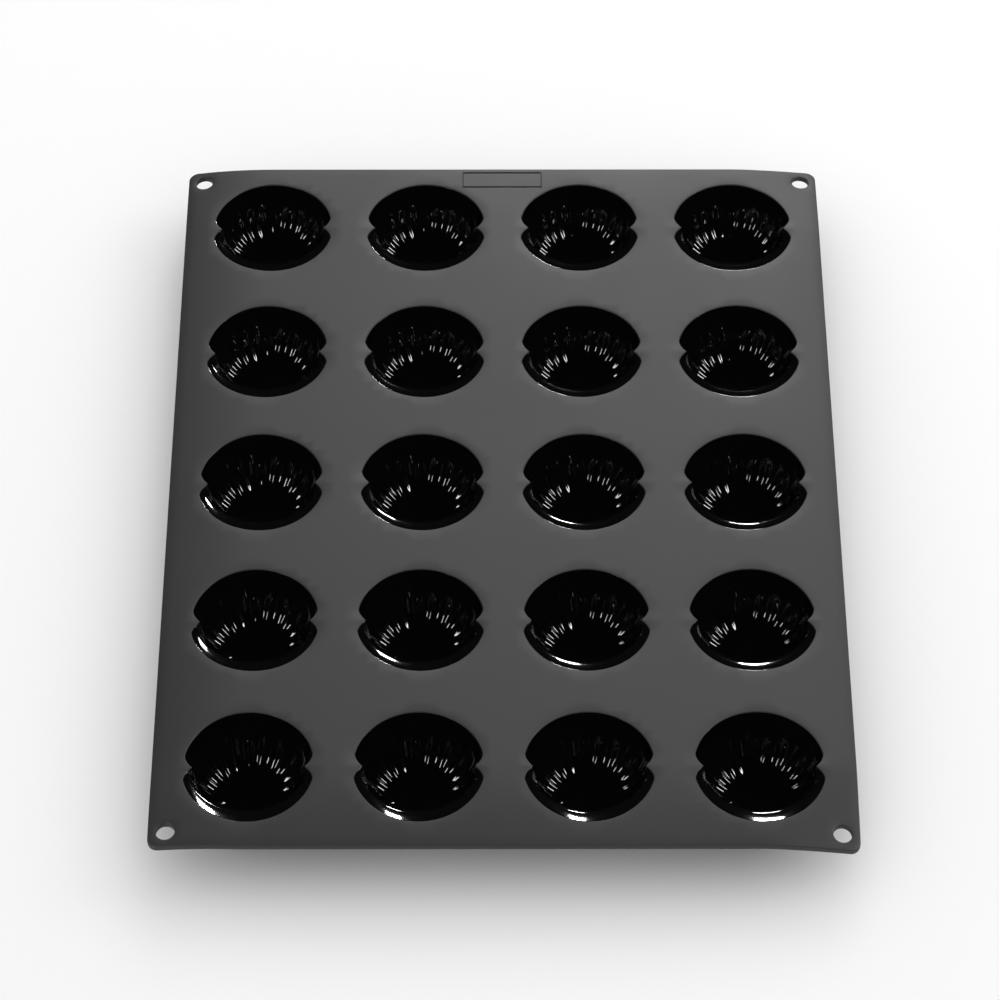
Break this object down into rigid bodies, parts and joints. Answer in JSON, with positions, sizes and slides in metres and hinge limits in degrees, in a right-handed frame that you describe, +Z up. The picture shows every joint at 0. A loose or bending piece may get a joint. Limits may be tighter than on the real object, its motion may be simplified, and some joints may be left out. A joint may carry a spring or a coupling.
{
  "type": "chestnut tartlet mould",
  "caption": "Flexible rectangular baking mould: a thin sheet with corner holes carrying rows of ridged chestnut-shaped cups that hang below it.",
  "frame": {"origin": "middle of the plane that the cups' feet stand on", "axes": "+X across the four columns of cups, +Y along the five rows, away from the picture's viewer, +Z up out of the mouths of the cups"},
  "size_m": [0.3, 0.4, 0.0304],
  "materials": {
    "satin_silicone": "satin black moulded silicone, faint bloom",
    "polished_silicone": "glossy black silicone from a polished mould core"
  },
  "bodies": {
    "root": {"flange_sheet": "satin_silicone", "cup_row1_col1": "polished_silicone", "cup_row1_col2": "polished_silicone", "cup_row1_col3": "polished_silicone", "cup_row1_col4": "polished_silicone", "cup_row2_col1": "polished_silicone", "cup_row2_col2": "polished_silicone", "cup_row2_col3": "polished_silicone", "cup_row2_col4": "polished_silicone", "cup_row3_col1": "polished_silicone", "cup_row3_col2": "polished_silicone", "cup_row3_col3": "polished_silicone", "cup_row3_col4": "polished_silicone", "cup_row4_col1": "polished_silicone", "cup_row4_col2": "polished_silicone", "cup_row4_col3": "polished_silicone", "cup_row4_col4": "polished_silicone", "cup_row5_col1": "polished_silicone", "cup_row5_col2": "polished_silicone", "cup_row5_col3": "polished_silicone", "cup_row5_col4": "polished_silicone"}
  },
  "joints": []
}
